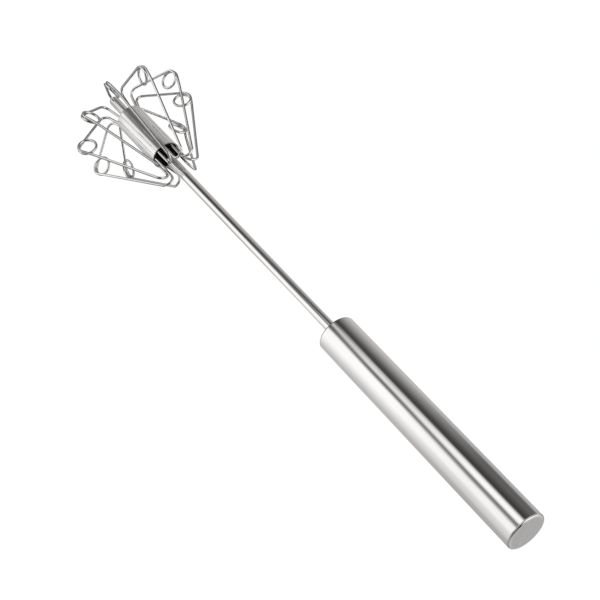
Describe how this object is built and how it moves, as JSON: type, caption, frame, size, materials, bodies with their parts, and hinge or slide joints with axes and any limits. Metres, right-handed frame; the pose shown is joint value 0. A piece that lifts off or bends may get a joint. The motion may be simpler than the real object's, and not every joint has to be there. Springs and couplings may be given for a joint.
{
  "type": "push-down rotary whisk",
  "caption": "Push-down kitchen whisk: a plain steel tube handle slides over a thin shaft and spins a head of looped wires gathered in a short sleeve.",
  "frame": {"origin": "tip of the shaft, on its axis, the lowest point of the part", "axes": "+Z along the shaft from the tip to the flat end of the handle; the first wire loop lies 5 degrees from +X towards -Y"},
  "size_m": [0.071, 0.0708, 0.3508],
  "materials": {
    "polished_steel": "mirror-polished stainless steel",
    "satin_steel": "satin stainless steel",
    "wire_steel": "bright drawn stainless wire",
    "hub_steel": "turned steel, dull",
    "strip_steel": "rolled steel strip",
    "washer_steel": "stamped steel",
    "spring_steel": "spring wire",
    "white_nylon": "white nylon",
    "black_rubber": "soft stop pad"
  },
  "bodies": {
    "handle": {"handle_tube": "polished_steel", "end_cap": "satin_steel", "strip_pin": "strip_steel", "drive_strip": "strip_steel", "upper_washer": "washer_steel", "return_spring": "spring_steel", "front_bush": "white_nylon", "stop_washer": "black_rubber"},
    "carriage": {"spring_seat": "washer_steel"},
    "rotor": {"drive_nut": "white_nylon", "shaft_tube": "polished_steel", "shaft_tip": "polished_steel", "head_hub": "hub_steel", "head_sleeve": "polished_steel", "whisk_wire_01": "wire_steel", "whisk_wire_02": "wire_steel", "whisk_wire_03": "wire_steel", "whisk_wire_04": "wire_steel", "whisk_wire_05": "wire_steel", "whisk_wire_06": "wire_steel", "whisk_wire_07": "wire_steel", "whisk_wire_08": "wire_steel", "whisk_wire_09": "wire_steel", "whisk_wire_10": "wire_steel"}
  },
  "joints": [
    {"name": "press_slide", "type": "slide", "parent": "handle", "child": "carriage", "axis": [0, 0, 1], "range_m": [0, 0.06], "stiffness_N_per_m": 140, "springref_m": -0.02, "deforming": ["return_spring"]},
    {"name": "head_spin", "type": "hinge", "parent": "carriage", "child": "rotor", "pos_m": [0, 0, 0.2], "axis": [0, 0, 1], "range_deg": [0, 432]}
  ],
  "couplings": [
    {"joint": "head_spin", "follows": "press_slide", "rad_per_m": 125.66}
  ]
}
